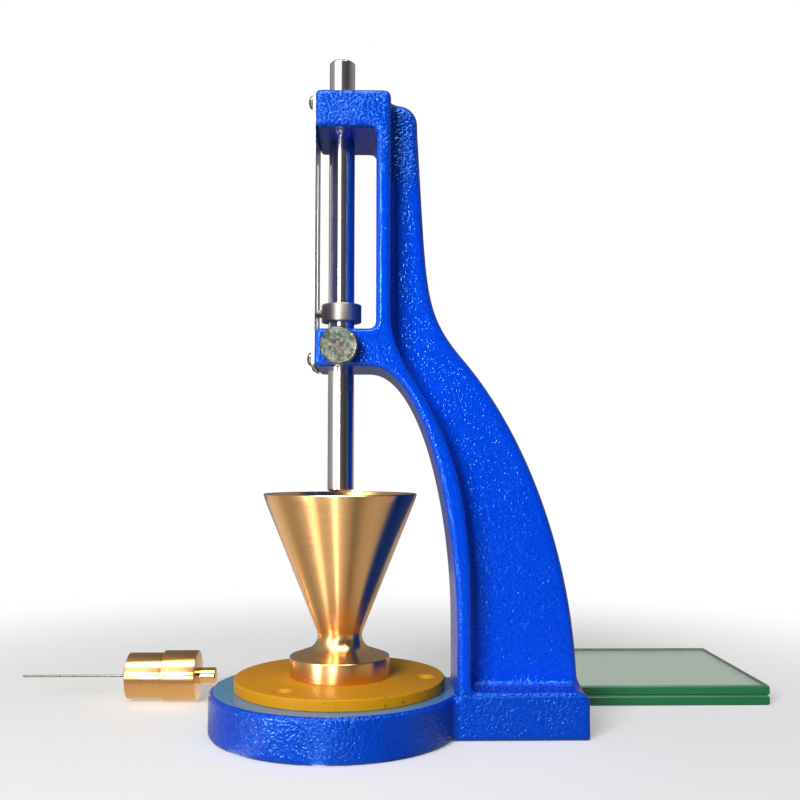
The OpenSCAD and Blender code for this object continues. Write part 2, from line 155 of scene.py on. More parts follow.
@dataclass(frozen=True)
class HammertoneEnamel(Finish):
    """Thick blue enamel on sand-cast iron: glossy rounded beads that sparkle, and one smooth machined face.

    Beads and dots are somewhat coarser than the real ones, so that the render can show them.
    The hollows and the coarse parts carry painted shade, and the machined face a painted reflection.
    """

    colour: str = "004bec"
    # shade is a painted shade: the bead hollows' occlusion painted into the colour
    shade: str = "0041d8"
    # deep is a painted shade for the coarse upper arm and the base's side
    deep: str = "003ba8"
    sheen: str = "66b2ff"
    # a painted reflection: pale grey-blue for the surround mirrored in the machined top face
    machined_face_painted_reflection: str = "5293c4"
    bead_mm: float = 1.35
    dot_mm: float = 1.4
    depth_mm: float = 0.42
    machined_mm: float = 19.0
    arm_mm: float = 255.0
    rib_mm: float = 10.0
    flange_part: float = 0.3
    rib_part: float = 0.34
    dot_part: float = 0.85
    bare_share: float = 0.35

    def surface(self, tree: Tree, place: Socket) -> dict:
        """Beads are a noise less the squared distance to rounded cells; dots stand alone on the rib."""
        beads = add(
            tree,
            "TexVoronoi",
            {"Vector": place, "Scale": 1 / (self.bead_mm * MM), "Smoothness": 0.4, "Randomness": 1.0},
            feature="SMOOTH_F1",
        )
        grain_scale = 1 / (0.8 * self.bead_mm * MM)
        inputs = {"Vector": place, "Scale": grain_scale, "Detail": 1.0, "Distortion": 0.6}
        grain = add(tree, "TexNoise", inputs)
        hollow = add(tree, "Math", (beads, beads), operation="MULTIPLY")
        height = add(tree, "Math", (grain, hollow), operation="SUBTRACT")

        # Where the beads are strong: on the upper arm and the base's side, and less on the rib.
        parts = add(tree, "SeparateXYZ", (place,))
        level = parts.outputs["Z"]
        across = add(tree, "Math", (parts.outputs["Y"], 0.0), operation="ABSOLUTE")
        arm, side, rib = self.arm_mm, self.machined_mm, self.rib_mm
        arm_part = add(tree, "MapRange", (level, (arm - 12) * MM, arm * MM, self.flange_part, 1.0))
        base_part = add(tree, "MapRange", (level, (side + 2) * MM, (side + 8) * MM, 1.0, 0.0))
        rib_part = add(tree, "MapRange", (across, (rib - 2) * MM, (rib + 2) * MM, self.rib_part, 0.0))
        coarse = add(tree, "Math", (arm_part, base_part), operation="MAXIMUM")
        beaded = add(tree, "Math", (coarse, rib_part), operation="MAXIMUM")
        patches = add(tree, "TexNoise", {"Vector": place, "Scale": 1 / (14 * MM), "Detail": 1.0})
        strength = add(tree, "MapRange", (patches, 0.35, 0.6, 0.5, 1.0))
        machined = add(tree, "Math", (level, side * MM, 0.05 * MM), operation="COMPARE")
        cast = add(tree, "Math", (1.03, machined), operation="SUBTRACT")
        patched = add(tree, "Math", (beaded, strength), operation="MULTIPLY")
        amount = add(tree, "Math", (patched, cast), operation="MULTIPLY")

        cell_inputs = {"Vector": place, "Scale": 1 / (self.dot_mm * MM), "Randomness": 1.0}
        cells = add(tree, "TexVoronoi", cell_inputs, feature="F1")
        draw = add(tree, "SeparateColor", (cells.outputs["Color"],))
        chosen = add(tree, "Math", (draw, self.bare_share), operation="GREATER_THAN")
        dot = add(tree, "MapRange", (cells, 0.05, 0.48, self.dot_part, 0.0))
        on_rib = add(tree, "Math", (chosen, rib_part), operation="MULTIPLY")
        dots = add(tree, "Math", (dot, on_rib), operation="MULTIPLY")
        raised = add(tree, "Math", (height, amount), operation="MULTIPLY")
        relief = add(tree, "Math", (raised, dots), operation="ADD")

        # Painted shade: the hollows are darker than the beads, and the coarse parts darker than the rest, as
        # if in shade.
        top = add(tree, "MapRange", (height, 0.0, 0.5, 0.0, 1.0))
        dark = add(tree, "MapRange", (coarse, 0.3, 1.0, 0.0, 0.5))
        tones = {"Factor": top, "A": linear(self.shade), "B": linear(self.colour)}
        paint = add(tree, "Mix", tones, data_type="RGBA")
        # Painted shade: the coarse arm and base go towards the deep colour.
        paint = add(tree, "Mix", {"Factor": dark, "A": paint, "B": linear(self.deep)}, data_type="RGBA")
        # Painted reflection: the machined face takes a pale grey-blue in place of its mirrored surround.
        tones = {"Factor": machined, "A": paint, "B": linear(self.machined_face_painted_reflection)}
        return {
            "Base Color": add(tree, "Mix", tones, data_type="RGBA"),
            "Normal": add(tree, "Bump", {"Height": relief, "Distance": self.depth_mm * MM, "Strength": 1.0}),
            "Roughness": 0.12,
            "Specular IOR Level": 0.75,
            "Specular Tint": linear(self.sheen),
        }


@dataclass(frozen=True)
class GoldenEnamel(Finish):
    """Golden yellow enamel on a turned plate: smooth, with fine dark scuffs and specks."""

    colour: str = "c98c0e"
    scuff: str = "5c4414"

    def surface(self, tree: Tree, place: Socket) -> dict:
        """Scuffs are the peaks of a fine noise, and slow waves unsettle the gloss; see Finish."""
        specks = add(tree, "TexNoise", {"Vector": place, "Scale": 1 / (2.4 * MM), "Detail": 4.0})
        mark = add(tree, "MapRange", (specks, 0.64, 0.72, 0.0, 0.6))
        waves = add(tree, "TexNoise", {"Vector": place, "Scale": 1 / (6 * MM), "Detail": 1.0})
        tones = {"Factor": mark, "A": linear(self.colour), "B": linear(self.scuff)}
        return {
            "Base Color": add(tree, "Mix", tones, data_type="RGBA"),
            "Normal": add(tree, "Bump", {"Height": waves, "Distance": 0.1 * MM, "Strength": 0.4}),
            "Roughness": 0.45,
            "Specular IOR Level": 0.12,
        }


class Grain(Enum):
    """The axis that a metal's tool marks run round, or none where it isn't turned."""

    ROUND_Z = "Z"
    ROUND_X = "X"
    NONE = ""


@dataclass(frozen=True)
class TurnedMetal(Finish):
    """Metal from the lathe or the grinder: fine rings that stretch its highlights."""

    colour: str = "c8c8cc"
    shade: str = "b4b4ba"
    roughness: float = 0.2
    spread: float = 0.08
    ring_mm: float = 0.35
    depth_mm: float = 0.01
    grain: Grain = Grain.ROUND_Z
    stretch: float = 0.6

    def surface(self, tree: Tree, place: Socket) -> dict:
        """Rings are noise squeezed along the turning axis, in colour, roughness and height; see Finish."""
        slow = 0.05
        squeeze = {Grain.ROUND_Z: (slow, slow, 1.0), Grain.ROUND_X: (1.0, slow, slow), Grain.NONE: (1, 1, 1)}
        along = add(tree, "Mapping", {"Vector": place, "Scale": squeeze[self.grain]}, vector_type="POINT")
        rings = add(tree, "TexNoise", {"Vector": along, "Scale": 1 / (self.ring_mm * MM), "Detail": 3.0})
        smooth, rough = max(self.roughness - self.spread, 0.02), self.roughness + self.spread
        tones = {"Factor": rings, "A": linear(self.shade), "B": linear(self.colour)}
        inputs = {
            "Base Color": add(tree, "Mix", tones, data_type="RGBA"),
            "Roughness": add(tree, "MapRange", (rings, 0.3, 0.7, smooth, rough)),
            "Normal": add(tree, "Bump", {"Height": rings, "Distance": self.depth_mm * MM, "Strength": 0.5}),
            "Metallic": 1.0,
        }
        if self.grain is not Grain.NONE:
            inputs["Tangent"] = add(tree, "Tangent", direction_type="RADIAL", axis=self.grain.value)
            inputs["Anisotropic"] = self.stretch
            inputs["Anisotropic Rotation"] = 0.25
        return inputs


@dataclass(frozen=True)
class ZincPlate(Finish):
    """Zinc plating with a clear chromate: mottled grey with faint green and pink clouds."""

    green: str = "43554e"
    pink: str = "564743"
    grey: str = "8f9489"

    def surface(self, tree: Tree, place: Socket) -> dict:
        """Clouds mix the green and the pink, and finer spots bring in the grey; see Finish."""
        clouds = add(tree, "TexNoise", {"Vector": place, "Scale": 1 / (6 * MM), "Detail": 2.0})
        spots = add(tree, "TexNoise", {"Vector": place, "Scale": 1 / (1.8 * MM), "Detail": 4.0})
        cloudy = add(tree, "MapRange", (clouds, 0.4, 0.62))
        spotted = add(tree, "MapRange", (spots, 0.35, 0.7))
        tones = {"Factor": cloudy, "A": linear(self.green), "B": linear(self.pink)}
        tint = add(tree, "Mix", tones, data_type="RGBA")
        tones = {"Factor": spotted, "A": tint, "B": linear(self.grey)}
        return {
            "Base Color": add(tree, "Mix", tones, data_type="RGBA"),
            "Normal": add(tree, "Bump", {"Height": spots, "Distance": 0.06 * MM, "Strength": 0.6}),
            "Metallic": 1.0,
            "Roughness": 0.26,
        }


@dataclass(frozen=True)
class FloatGlass(Finish):
    """Clear float glass: colourless through its face and green through its ground edges."""

    colour: str = "e6f3ea"
    roughness: float = 0.0
    clear: float = 1.0

    def surface(self, tree: Tree, place: Socket) -> dict:
        """A faint smudge pattern breaks the gloss; see Finish."""
        smudge = add(tree, "TexNoise", {"Vector": place, "Scale": 1 / (30 * MM), "Detail": 2.0})
        return {
            "Roughness": add(tree, "MapRange", (smudge, 0.5, 0.8, self.roughness, self.roughness + 0.04)),
            "Base Color": linear(self.colour),
            "Transmission Weight": self.clear,
            "IOR": 1.52,
        }


@dataclass(frozen=True)
class PrintedInk(Finish):
    """Matt black ink of the scale's lines and numbers."""

    def surface(self, tree: Tree, place: Socket) -> dict:
        """The ink is a little uneven; see Finish."""
        patchy = add(tree, "TexNoise", {"Vector": place, "Scale": 1 / (0.5 * MM)})
        tones = {"Factor": patchy, "A": linear("151515"), "B": linear("2a2a2c")}
        return {"Base Color": add(tree, "Mix", tones, data_type="RGBA"), "Roughness": 0.6}


# Metals give colour, shade, roughness and its spread, the rings' width and depth in mm, and the axis.
BLUE = HammertoneEnamel("blue_hammertone_enamel")
GOLD = GoldenEnamel("golden_gloss_enamel")
GROUND_STEEL = TurnedMetal("ground_steel", "dcd8d4", "ccc7c2", 0.13, 0.03, 0.3, 0.001)
DULL_STEEL = TurnedMetal("dull_turned_steel", "b4aea1", "988f84", 0.5, 0.08, 0.4, 0.01)
BLACK_STEEL = TurnedMetal("blackened_steel", "2a2a2c", "1a1a1c", 0.4, 0.1, 0.5, 0.02)
BRONZE = TurnedMetal("bearing_bronze", "b98b4e", "9a7038", 0.3, 0.08, 0.4, 0.01)
BRASS = TurnedMetal("turned_brass", "eec189", "e3b073", 0.24, 0.03, 0.35, 0.002, stretch=0.75)
BRASS_LYING = TurnedMetal("turned_brass_lying", "edbd7c", "e0a968", 0.16, 0.03, 0.35, 0.002, Grain.ROUND_X)
NEEDLE_STEEL = TurnedMetal("ground_needle_steel", "8d8276", "6e645a", 0.3, 0.05, 0.5, 0.002, Grain.ROUND_X)
ALUMINIUM = TurnedMetal("rolled_aluminium", "dcdcdc", "cccccc", 0.34, 0.08, 0.4, 0.006, Grain.NONE)
ZINC = ZincPlate("chromated_zinc")
GLASS = FloatGlass("float_glass")
GLASS_EDGE = FloatGlass("float_glass_edge", "1a7d4a", 0.3, 0.25)
INK = PrintedInk("printed_ink")


# Meshes


def unit(v: np.ndarray) -> np.ndarray:
    """The vector divided by its length."""
    return v / np.linalg.norm(v)


def corner(a: Point, b: Point, c: Point, r: float, steps: int = 6) -> np.ndarray:
    """Rounds the corner b between a and c.

    The arc's centre lies on the bisector at r / sin(half the angle), and the arc sweeps from one
    side's touching point to the other's.

    Args:
        a: The point before the corner.
        b: The corner.
        c: The point after it.
        r: The arc's radius.
        steps: Number of chords.

    Returns:
        The arc's points, one row each.
    """
    a, b, c = (np.asarray(p, float) for p in (a, b, c))
    u, v = unit(a - b), unit(c - b)
    half = math.acos(float(np.clip(u @ v, -1, 1))) / 2
    centre = b + unit(u + v) * r / math.sin(half)
    start, end = (b + w * r / math.tan(half) - centre for w in (u, v))
    first = math.atan2(start[1], start[0])
    sweep = math.atan2(start[0] * end[1] - start[1] * end[0], start @ end)
    angles = first + sweep * np.linspace(0, 1, steps + 1)
    return centre + r * np.stack([np.cos(angles), np.sin(angles)], 1)


def curve(a: Point, b: Point, c: Point, d: Point, steps: int = 48) -> np.ndarray:
    """A cubic curve from a to d pulled towards b and c: s3 a + 3 s2 t b + 3 s t2 c + t3 d."""
    t = np.linspace(0, 1, steps + 1)[:, None]
    s = 1 - t
    a, b, c, d = (np.asarray(p, float) for p in (a, b, c, d))
    return a * s**3 + 3 * b * s**2 * t + 3 * c * s * t**2 + d * t**3


def rounded(points: Profile, steps: int = 6) -> np.ndarray:
    """Rounds an open profile's corners.

    Args:
        points: Radius from the axis, height, and the corner's rounding, for each corner in turn.
        steps: Number of chords in each rounding.

    Returns:
        The profile's points, one row each.
    """
    flat = np.array([p[:2] for p in points], float)
    parts = [flat[:1]]
    for i in range(1, len(points) - 1):
        r = points[i][2]
        parts.append(corner(flat[i - 1], flat[i], flat[i + 1], r, steps) if r > 0 else flat[i : i + 1])
    parts.append(flat[-1:])
    return np.vstack(parts)


def revolve(profile: np.ndarray, steps: int = 160) -> Mesh:
    """Turns a profile round the Z axis.

    A point of radius r and height h at angle w lies at (r cos w, r sin w, h).

    Args:
        profile: Radius and height in millimetres, one row each, from axis to axis or closed.
        steps: Number of points round the axis.

    Returns:
        The vertices in metres and the quads between them.
    """
    angles = np.linspace(0, 2 * math.pi, steps, endpoint=False)
    r, h = profile[:, :1], profile[:, 1:]
    grid = np.stack([r * np.cos(angles), r * np.sin(angles), h + 0 * angles], 2) * MM
    rows, columns = np.meshgrid(np.arange(len(profile) - 1), np.arange(steps), indexing="ij")
    after = (columns + 1) % steps
    low, high = rows * steps, (rows + 1) * steps
    quads = np.stack([low + columns, low + after, high + after, high + columns], 2)
    return grid.reshape(-1, 3), quads.reshape(-1, 4)


def level_surface(field: np.ndarray, low: np.ndarray, step: float) -> Mesh:
    """Meshes the surface where a field on a regular grid is zero.

    Each cell that the surface crosses gets one vertex, the mean of the crossings on its edges, and
    each crossed grid edge joins the vertices of its four cells in one quad.

    Args:
        field: Values at the grid's points, negative inside the solid.
        low: The grid's first point, in millimetres.
        step: The grid's spacing, in millimetres.

    Returns:
        The vertices in metres and the quads, which point outwards.
    """
    inside = field < 0
    cells = np.array(field.shape) - 1
    strides = np.array([cells[1] * cells[2], cells[2], 1])
    size = int(cells.prod())
    count, total = np.zeros(size), np.zeros((3, size))
    quads = []
    for axis, (u, v) in enumerate(((1, 2), (2, 0), (0, 1))):
        before = tuple(slice(0, -1) if k == axis else slice(None) for k in range(3))
        after = tuple(slice(1, None) if k == axis else slice(None) for k in range(3))
        crossed = inside[before] != inside[after]
        index = np.argwhere(crossed)
        first, second = field[before][crossed], field[after][crossed]
        point = index.astype(float)
        point[:, axis] += first / (first - second)
        ring = []
        for du, dv in ((-1, -1), (0, -1), (0, 0), (-1, 0)):
            cell = index.copy()
            cell[:, u] += du
            cell[:, v] += dv
            flat = cell @ strides
            ring.append(flat)
            count += np.bincount(flat, minlength=size)
            for k in range(3):
                total[k] += np.bincount(flat, weights=point[:, k], minlength=size)
        quad = np.stack(ring, 1)
        outward = inside[before][crossed]
        quads.append(np.where(outward[:, None], quad, quad[:, ::-1]))
    used = np.flatnonzero(count)
    renumber = np.zeros(size, int)
    renumber[used] = np.arange(len(used))
    vertices = (total[:, used] / count[used]).T * step + low
    return vertices * MM, renumber[np.vstack(quads)]


def outline_distance(outline: np.ndarray, x: np.ndarray, z: np.ndarray) -> np.ndarray:
    """Signed distance to a closed outline at each point of a grid.

    The size is the least distance to any side, and the sign is negative where a ray to the right
    crosses an odd number of sides.

    Args:
        outline: The outline's corners, one row each.
        x: The grid's places across.
        z: The grid's places up.

    Returns:
        Distances, with x along the first axis and z along the second.
    """
    a, b = outline, np.roll(outline, -1, axis=0)
    e = b - a
    gx, gz = (g[..., None] for g in np.meshgrid(x, z, indexing="ij"))
    wx, wz = gx - a[:, 0], gz - a[:, 1]
    t = np.clip((wx * e[:, 0] + wz * e[:, 1]) / (e**2).sum(1), 0, 1)
    size = np.sqrt((wx - t * e[:, 0]) ** 2 + (wz - t * e[:, 1]) ** 2).min(2)
    with np.errstate(divide="ignore", invalid="ignore"):
        reach = a[:, 0] + (gz - a[:, 1]) / e[:, 1] * e[:, 0]
    crosses = ((a[:, 1] > gz) != (b[:, 1] > gz)) & (gx < reach)
    return np.where(crosses.sum(2) % 2 == 1, -size, size)


def slab(flat: np.ndarray, across: np.ndarray, half: float, r: float) -> np.ndarray:
    """Distance to a plate with rounded edges.

    Outside both inner limits the distance is the length of the two overshoots, less r.

    Args:
        flat: Signed distance to the plate's outline.
        across: Distance from the plate's middle plane.
        half: Half the plate's thickness.
        r: The edges' radius.

    Returns:
        The signed distance, of the shape that flat and across make together.
    """
    p, q = flat + r, across - half + r
    outer = np.sqrt(np.maximum(p, 0) ** 2 + np.maximum(q, 0) ** 2)
    return outer + np.minimum(np.maximum(p, q), 0) - r


def fillet(a: np.ndarray, b: np.ndarray, r: float) -> np.ndarray:
    """Joins two distances with a concave fillet: max(r, min) less the length of both shortfalls of r."""
    corner_part = np.sqrt(np.maximum(r - a, 0) ** 2 + np.maximum(r - b, 0) ** 2)
    return np.maximum(r, np.minimum(a, b)) - corner_part


def put(name: str, data: bpy.types.ID) -> bpy.types.Object:
    """Makes an object of a mesh, a text, a lamp or a camera and puts it in the scene."""
    made = bpy.data.objects.new(name, data)
    bpy.context.scene.collection.objects.link(made)
    return made


def clean(mesh: bpy.types.Mesh) -> None:
    """Merges a mesh's doubled vertices and turns its faces outwards."""
    work = bmesh.new()
    work.from_mesh(mesh)
    bmesh.ops.remove_doubles(work, verts=work.verts, dist=1e-7)
    bmesh.ops.dissolve_degenerate(work, edges=work.edges, dist=1e-8)
    bmesh.ops.recalc_face_normals(work, faces=work.faces)
    work.to_mesh(mesh)
    work.free()


def make_piece(
    name: str,
    body: str,
    vertices: np.ndarray,
    faces: np.ndarray,
    finish: Finish,
    replaces: tuple[str, ...] = (),
    weld: bool = True,
) -> bpy.types.Object:
    """Args:
        name: The piece's name.
        body: The body that it rides on.
        vertices: Places in metres, one row each.
        faces: Vertex numbers, one row for each face.
        finish: Its finish.
        replaces: CAD nodes that it stands for.
        weld: Whether to merge doubled vertices and turn the faces outwards.

    Returns:
        The new object.
    """
    mesh = bpy.data.meshes.new(name)
    mesh.from_pydata(vertices, [], faces.tolist())
    if weld:
        clean(mesh)
    mesh.shade_smooth()
    mesh.materials.append(finish.material())
    made = put(name, mesh)
    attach(made, body)
    if replaces:
        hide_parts(*replaces)
    LOG.info("%s: %d faces on %s", name, len(mesh.polygons), body)
    return made


def carve(piece: bpy.types.Object, vertices: np.ndarray, faces: np.ndarray) -> None:
    """Takes a closed shape away from a piece.

    Args:
        piece: The piece, whose mesh is replaced.
        vertices: The shape's places in metres.
        faces: The shape's faces.
    """
    mesh = bpy.data.meshes.new("cutter")
    mesh.from_pydata(vertices, [], faces.tolist())
    clean(mesh)
    cutter = put("cutter", mesh)
    cut = piece.modifiers.new("cut", "BOOLEAN")
    cut.operation, cut.solver, cut.object = "DIFFERENCE", "EXACT", cutter
    ready = piece.evaluated_get(bpy.context.evaluated_depsgraph_get())
    shape = bpy.data.meshes.new_from_object(ready)
    piece.modifiers.clear()
    piece.data = shape
    bpy.data.objects.remove(cutter)


def keep_creases(piece: bpy.types.Object, degrees: float = 40.0) -> None:
    """Keeps edges sharper than an angle crisp under smooth shading."""
    piece.data.set_sharp_from_angle(angle=math.radians(degrees))


def dress_node(node: bpy.types.Object, finish: Finish) -> None:
    """Gives a carried-over CAD node a finish in place of its plain one."""
    node.data.materials.clear()
    node.data.materials.append(finish.material())


# Sub-assemblies, with sizes in millimetres


@dataclass
class Stand:
    """The cast stand: base, foot, T-section column and two arms, with the bores for its guide bushes."""

    base_r: float = 56.5
    base_h: float = 19.0
    base_shift: float = 2.0
    foot_reach: float = 109.5
    foot_rise: float = 1.7
    foot_end_r: float = 5.0
    edge_r: float = 1.8
    width: float = 44.2
    arm_reach: float = 11.2
    arm_h: float = 17.0
    throat_h: float = 143.4
    window_h: float = 91.0
    window_reach: float = 16.1
    flange_t: float = 6.6
    throat_reach: float = 51.8
    window_r: float = 3.0
    web_t: float = 14.0
    web_edge_r: float = 3.5
    web_top_reach: float = 35.2
    web_drop: float = 1.2
    web_shoulder_r: float = 9.0
    web_foot_gap: float = 2.4
    blend_r: float = 4.0
    base_edge_r: float = 1.6
    base_blend_r: float = 0.9
    bush_r: float = 7.62
    lock_r: float = 3.06
    step: float = 1.1

    @property
    def lower_arm(self) -> float:
        """Height of the lower arm's underside."""
        return self.base_h + self.throat_h

    @property
    def upper_arm(self) -> float:
        """Height of the upper arm's underside."""
        return self.lower_arm + self.arm_h + self.window_h

    @property
    def top(self) -> float:
        """Height of the upper arm's top."""
        return self.upper_arm + self.arm_h

    def column_back(self) -> np.ndarray:
        """The column's outer side as one cubic curve, from the window down to the foot."""
        out = self.window_reach + self.flange_t
        low = self.throat_reach + self.flange_t - 0.4
        return curve(
            (out, self.lower_arm + self.arm_h + 7.4),
            (out, self.lower_arm - 10.9),
            (low, self.lower_arm - 12.5),
            (low, self.base_h + 41.3),
        )

    def frame_outline(self) -> np.ndarray:
        """Side view of foot, column and arms as one outline of cubic curves and corner arcs."""
        left, inner = -self.arm_reach, self.base_r / 2
        win, out = self.window_reach, self.window_reach + self.flange_t
        foot, end = self.base_h + self.foot_rise, self.foot_reach
        low, top = self.lower_arm, self.top
        low_top, up = self.lower_arm + self.arm_h, self.upper_arm
        e, bend = self.edge_r + 0.2, self.column_back()[-1, 0]
        front = curve(
            (self.throat_reach, self.base_h + 26),
            (self.throat_reach, self.base_h + 83.8),
            (win + 19.7, low),
            (win - 2.6, low),
        )
        return np.vstack(
            [
                corner((inner, 0), (end, 0), (end, foot), 1.0),
                corner((end, 0), (end, foot), (0, foot), self.foot_end_r),
                corner((end, foot), (bend, foot), (bend, top), e),
                self.column_back()[::-1],
                corner((out, 0), (out, top), (left, top), self.window_r),
                corner((out, top), (left, top), (left, up), e),
                corner((left, top), (left, up), (win, up), e),
                corner((left, up), (win, up), (win, 0), self.window_r),
                corner((win, up), (win, low_top), (left, low_top), self.window_r),
                corner((win, low_top), (left, low_top), (left, low), e),
                corner((left, low_top), (left, low), (win, low), e),
                front[::-1],
                [(self.throat_reach, self.base_h - 1), (inner, self.base_h - 1), (inner, 0)],
            ]
        )

    def web_outline(self) -> np.ndarray:
        """Side view of the rib: two cubic curves behind, and the column's curve set back in front."""
        top, foot_x = self.top - self.web_drop, self.foot_reach - self.web_foot_gap
        foot = self.base_h + self.foot_rise
        waist = np.array([self.web_top_reach + 21.3, self.lower_arm + 4.6])
        upper = curve(
            (self.web_top_reach, self.top - 15.5),
            (self.web_top_reach + 4.5, self.upper_arm - 73),
            waist - 0.92 * np.array([20.6, -24.3]),
            waist,
        )
        lower = curve(waist, waist + (26.9, -31.7), (foot_x - 1.9, foot + 61), (foot_x, foot + 1))
        out, hidden = self.window_reach + self.flange_t, 3.0
        front = self.column_back() - (hidden, 0)
        return np.vstack(
            [
                [(front[-1, 0], self.base_h - 6), (foot_x, self.base_h - 6)],
                lower[:0:-1],
                upper[::-1],
                corner(upper[0], (self.web_top_reach - 0.3, top), (out, top), self.web_shoulder_r),
                [(out - hidden, top)],
                front,
            ]
        )

    def casting_surface(self) -> Mesh:
        """Meshes the casting as the zero level of its distance field.

        Plates with rounded edges are joined with concave fillets and cut flat at the bench, and the
        bores are taken away as the greater of the solid's distance and minus the bore's.

        Returns:
            Vertices and quads.
        """
        low = np.array([-self.base_r - self.base_shift - 3, -self.base_r - 3, -3.0])
        high = np.array([self.foot_reach + 3, self.base_r + 3, self.top + 3])
        counts = np.ceil((high - low) / self.step).astype(int) + 1
        x, y, z = (low[k] + self.step * np.arange(counts[k]) for k in range(3))
        across = np.abs(y)[None, :, None]
        frame_side = outline_distance(self.frame_outline(), x, z)[:, None, :]
        plate = slab(frame_side, across, self.width / 2, self.edge_r)
        web_side = outline_distance(self.web_outline(), x, z)[:, None, :]
        web = slab(web_side, across, self.web_t / 2, self.web_edge_r)
        gx, gy = x[:, None, None], y[None, :, None]
        round_part = np.sqrt((gx + self.base_shift) ** 2 + gy**2) - self.base_r
        base = slab(round_part, np.abs(z - self.base_h / 2)[None, None, :], self.base_h / 2, self.base_edge_r)
        joined = fillet(fillet(plate, web, self.blend_r), base, self.base_blend_r)
        solid = np.maximum(joined, -z[None, None, :])
        around = np.sqrt(gx**2 + gy**2)
        for arm in (self.lower_arm, self.upper_arm):
            middle = arm + self.arm_h / 2
            bush = np.maximum(around - self.bush_r, np.abs(z - middle - 2)[None, None, :] - self.arm_h / 2)
            solid = np.maximum(solid, -bush)
        lock_z = self.lower_arm + self.arm_h / 2
        stem = np.sqrt(gx**2 + (z[None, None, :] - lock_z) ** 2) - self.lock_r
        solid = np.maximum(solid, -np.maximum(stem, gy))
        return level_surface(solid.astype(np.float32), low, self.step)

    def build(self) -> None:
        """Makes the casting."""
        vertices, quads = self.casting_surface()
        make_piece("casting", "stand", vertices, quads, BLUE, ("frame_casting",), False)


@dataclass
class Scale:
    """The slotted scale plate with its screws, and the graduations on its outer face."""

    zero_z: float = 0.0
    length: int = 70
    line_w: float = 0.22
    line_start: float = -3.4
    ink_t: float = 0.03
    figure_h: float = 4.2
    figure_y: float = -14.0
    pointer_drop: float = 0.3

    def mark_boxes(self, face_x: float) -> Mesh:
        """Flat boxes for the lines, one for each millimetre, longer at each fifth and tenth.

        Args:
            face_x: The plate's outer face, in millimetres.

        Returns:
            Vertices and quads.
        """
        k = np.arange(self.length + 1)
        reach = np.where(k % 10 == 0, 7.0, np.where(k % 5 == 0, 5.2, 3.6))
        unit_box = np.array([[i, j, m] for i in (0, 1) for j in (0, 1) for m in (-0.5, 0.5)], float)
        y = self.line_start - unit_box[None, :, 1] * reach[:, None]
        x = face_x - self.ink_t * unit_box[None, :, 0] + 0 * y
        z = self.zero_z + k[:, None] + self.line_w * unit_box[None, :, 2]
        sides = np.array([[0, 1, 3, 2], [4, 6, 7, 5], [0, 4, 5, 1], [2, 3, 7, 6], [0, 2, 6, 4], [1, 5, 7, 3]])
        faces = (sides[None] + 8 * k[:, None, None]).reshape(-1, 4)
        return np.stack([x, y, z], 2).reshape(-1, 3) * MM, faces

    def numbers(self, face_x: float) -> None:
        """Makes the numbers beside every tenth line, as flat printed figures."""
        for value in range(0, self.length + 1, 10):
            text = bpy.data.curves.new(f"figure_{value}", "FONT")
            text.body = str(value)
            text.size = self.figure_h * MM
            text.extrude = self.ink_t * MM / 2
            text.align_x = text.align_y = "CENTER"
            source = put(f"figure_{value}_text", text)
            bpy.context.view_layer.update()
            shape = bpy.data.meshes.new_from_object(source)
            bpy.data.objects.remove(source)
            turn = Matrix(((0, 0, -1, 0), (-1, 0, 0, 0), (0, 1, 0, 0), (0, 0, 0, 1)))
            place = Vector((face_x - self.ink_t / 2, self.figure_y, self.zero_z + value)) * MM
            shape.transform(Matrix.Translation(place) @ turn)
            shape.materials.clear()
            shape.materials.append(INK.material())
            figure = put(f"scale_figure_{value}", shape)
            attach(figure, "stand")

    def build(self, nodes: dict[str, bpy.types.Object]) -> None:
        """Dresses the plate and its screws and prints the graduations.

        Args:
            nodes: The CAD nodes by name.
        """
        dress_node(nodes["scale_plate"], ALUMINIUM)
        dress_node(nodes["scale_screws"], ZINC)
        dress_node(nodes["scale_washers"], ZINC)
        low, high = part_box("pointer_screw")
        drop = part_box("stop_collar")[0].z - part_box("lower_guide_bush")[1].z
        self.zero_z = (low.z + high.z) / 2 / MM - drop / MM - self.pointer_drop
        face_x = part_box("scale_plate")[0].x / MM
        vertices, faces = self.mark_boxes(face_x)
        make_piece("scale_lines", "stand", vertices, faces, INK, weld=False)
        bpy.data.objects["scale_lines"].data.shade_flat()
        self.numbers(face_x)


@dataclass
class TurnedPiece:
    """A piece from the lathe, given by its half section and the axis that it turns about."""

    name: str
    body: str
    profile: Profile
    finish: Finish
    slot: str
    node: str
    place: Matrix = Matrix.Identity(4).freeze()
    closed: bool = False
    steps: int = 160

    def build(self) -> bpy.types.Object:
        """Turns the profile and sets it on its axis.

        Returns:
            The new object.
        """
        section = rounded(self.profile)
        if self.closed:
            section = np.vstack([section, section[:1]])
        vertices, quads = revolve(section, self.steps)
        turned = vertices @ np.array(self.place.to_3x3()).T + np.array(self.place.translation)
        made = make_piece(self.name, self.body, turned, quads, self.finish, (self.node,))
        keep_creases(made)
        return made


